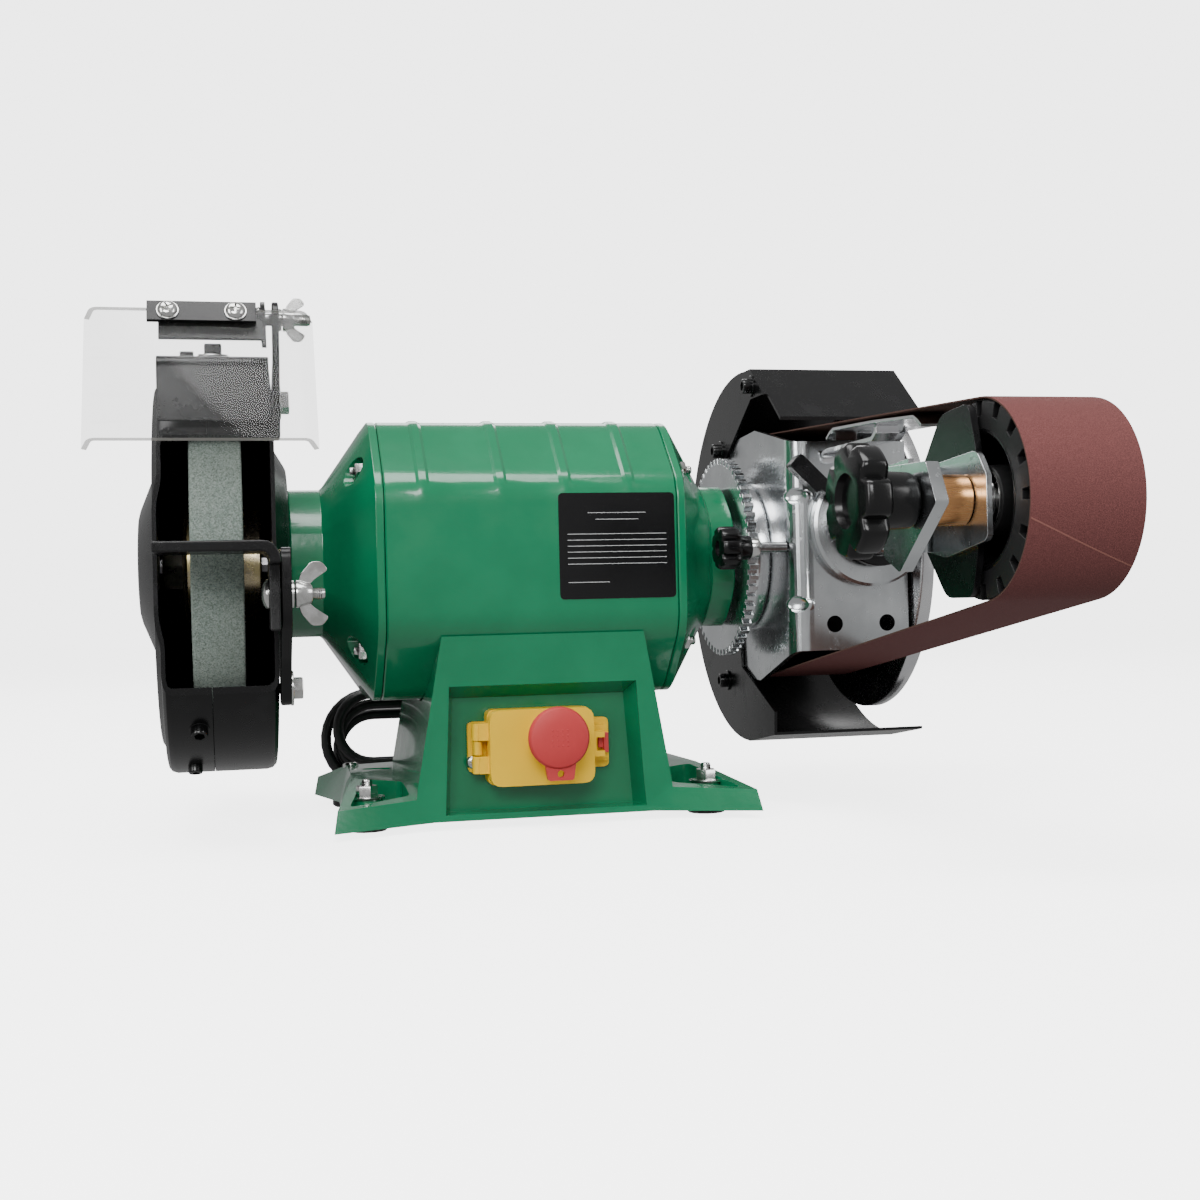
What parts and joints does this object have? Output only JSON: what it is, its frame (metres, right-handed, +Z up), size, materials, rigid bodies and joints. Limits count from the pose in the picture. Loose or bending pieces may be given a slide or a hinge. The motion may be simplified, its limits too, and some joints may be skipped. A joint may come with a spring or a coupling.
{
  "type": "bench grinder",
  "caption": "Bench grinder with a guarded grinding wheel, tool rest and eye shield on the left and a swinging belt linishing arm on the right, on a cast pedestal base.",
  "frame": {"origin": "centre of the footprint without the free flex, on the underside of the rubber feet", "axes": "+Z up, +X to the right of someone standing at the machine, -Y towards them, spindle along X"},
  "size_m": [0.443, 0.5329, 0.2659],
  "materials": {
    "green_enamel": "thick gloss green enamel on cast and die-cast parts",
    "black_powder_coat": "black powder coat",
    "black_plastic": "moulded black plastic",
    "black_rubber": "black rubber",
    "bright_zinc": "bright zinc plating",
    "polished_steel": "machined and polished",
    "plain_steel": "plain steel",
    "cast_aluminium": "turned aluminium",
    "yellow_zinc": "yellow passivated zinc",
    "bronze": "sintered bronze",
    "winding": "enamelled copper wire",
    "yellow_plastic": "moulded yellow plastic",
    "red_plastic": "moulded red plastic",
    "green_plastic": "moulded green plastic",
    "vitrified_grit": "grey-green bonded abrasive grit",
    "abrasive_cloth": "dark red abrasive cloth",
    "clear_polycarbonate": "clear plastic sheet"
  },
  "bodies": {
    "machine": {"base_casting": "green_enamel", "base_plate": "bright_zinc", "rubber_foot_front_left": "black_rubber", "rubber_foot_front_right": "black_rubber", "rubber_foot_back_left": "black_rubber", "rubber_foot_back_right": "black_rubber", "capacitor": "black_plastic", "motor_housing": "green_enamel", "left_end_bell": "green_enamel", "right_end_bell": "green_enamel", "stator_core": "plain_steel", "stator_winding": "winding", "left_bearing": "plain_steel", "right_bearing": "plain_steel", "switch_box": "yellow_plastic", "wheel_guard": "black_powder_coat", "guard_cover": "black_powder_coat", "tool_rest_bracket": "black_powder_coat", "shield_arm": "black_powder_coat", "index_ring": "bright_zinc", "cord_grip": "black_plastic", "cord_lead": "black_rubber", "cord_hank": "black_rubber", "plug": "black_plastic"},
    "spindle": {"spindle_shaft": "plain_steel", "rotor_core": "plain_steel", "grinding_wheel": "vitrified_grit", "inner_flange": "yellow_zinc", "outer_flange": "yellow_zinc", "spindle_nut": "bright_zinc", "drive_hub": "cast_aluminium", "drive_tyre": "black_rubber", "sanding_disc": "cast_aluminium", "disc_nut": "bright_zinc"},
    "linisher": {"clamp_ring": "polished_steel", "arm_bracket": "bright_zinc", "belt_guard": "black_powder_coat", "platen": "polished_steel", "abrasive_belt": "abrasive_cloth", "cam_boss": "bright_zinc"},
    "lock_knob": {"index_lock_knob": "black_plastic"},
    "idler_carrier": {"tension_bar": "plain_steel", "carrier_plate": "black_powder_coat", "idler_fork": "bright_zinc", "axle_bush": "bronze", "idler_axle": "plain_steel"},
    "lever": {"tension_lever": "black_powder_coat"},
    "idler": {"idler_wheel": "black_rubber"},
    "knob": {"tracking_knob": "black_plastic"},
    "shield": {"shield_frame": "black_powder_coat", "eye_shield": "clear_polycarbonate", "shield_bolt": "bright_zinc"},
    "shield_nut": {"shield_wing_nut": "bright_zinc"},
    "rest_clamp": {"tool_rest_bolt": "bright_zinc"},
    "rest": {"tool_rest": "black_powder_coat"},
    "rest_nut": {"tool_rest_wing_nut": "bright_zinc"},
    "deflector": {"spark_deflector": "black_powder_coat"},
    "lid": {"switch_lid": "yellow_plastic"},
    "stop": {"stop_button": "red_plastic"},
    "start": {"start_button": "green_plastic"}
  },
  "joints": [
    {"name": "spindle_spin", "type": "hinge", "parent": "machine", "child": "spindle", "pos_m": [0, 0.10572, 0.139], "axis": [1, 0, 0], "continuous": true},
    {"name": "linisher_swing", "type": "hinge", "parent": "machine", "child": "linisher", "pos_m": [0.13, 0.10572, 0.139], "axis": [-1, 0, 0], "range_deg": [0, 90]},
    {"name": "lock_knob_turn", "type": "hinge", "parent": "linisher", "child": "lock_knob", "pos_m": [0.1, 0.03972, 0.142], "axis": [1, 0, 0], "range_deg": [0, 270]},
    {"name": "idler_tension", "type": "slide", "parent": "linisher", "child": "idler_carrier", "axis": [0, 1, 0], "range_m": [0, 0.008]},
    {"name": "lever_throw", "type": "hinge", "parent": "linisher", "child": "lever", "pos_m": [0.178, 0.01522, 0.1528], "axis": [0, -1, 0], "range_deg": [0, 65]},
    {"name": "idler_spin", "type": "hinge", "parent": "idler_carrier", "child": "idler", "pos_m": [0.165, -0.17278, 0.1528], "axis": [1, 0, 0], "continuous": true},
    {"name": "tracking_turn", "type": "hinge", "parent": "idler_carrier", "child": "knob", "pos_m": [0.09, -0.17278, 0.1528], "axis": [1, 0, 0], "range_deg": [0, 270]},
    {"name": "shield_tilt", "type": "hinge", "parent": "machine", "child": "shield", "pos_m": [-0.138, 0.01572, 0.2555], "axis": [-1, 0, 0], "range_deg": [-10, 60]},
    {"name": "shield_nut_turn", "type": "hinge", "parent": "machine", "child": "shield_nut", "pos_m": [-0.1295, 0.01572, 0.2555], "axis": [1, 0, 0], "range_deg": [0, 180]},
    {"name": "rest_lift", "type": "slide", "parent": "machine", "child": "rest_clamp", "axis": [0, 0, 1], "range_m": [-0.006, 0.009]},
    {"name": "rest_tilt", "type": "hinge", "parent": "rest_clamp", "child": "rest", "pos_m": [-0.132, -0.00628, 0.122], "axis": [1, 0, 0], "range_deg": [0, 20]},
    {"name": "rest_nut_turn", "type": "hinge", "parent": "rest_clamp", "child": "rest_nut", "pos_m": [-0.1275, -0.00628, 0.122], "axis": [1, 0, 0], "range_deg": [0, 180]},
    {"name": "deflector_adjust", "type": "slide", "parent": "machine", "child": "deflector", "axis": [0, -0.99, -0.1414], "range_m": [0, 0.006]},
    {"name": "lid_open", "type": "hinge", "parent": "machine", "child": "lid", "pos_m": [-0.035, 0.04022, 0.041], "axis": [0, 0, -1], "range_deg": [0, 100]},
    {"name": "stop_press", "type": "slide", "parent": "lid", "child": "stop", "axis": [0, 1, 0], "range_m": [0, 0.0035], "stiffness_N_per_m": 700, "springref_m": -0.0015},
    {"name": "start_press", "type": "slide", "parent": "machine", "child": "start", "axis": [0, 1, 0], "range_m": [0, 0.0025], "stiffness_N_per_m": 500, "springref_m": -0.001}
  ],
  "couplings": [
    {"joint": "idler_spin", "follows": "spindle_spin", "ratio": 1.6494},
    {"joint": "lever_throw", "follows": "idler_tension", "rad_per_m": 141.8}
  ]
}
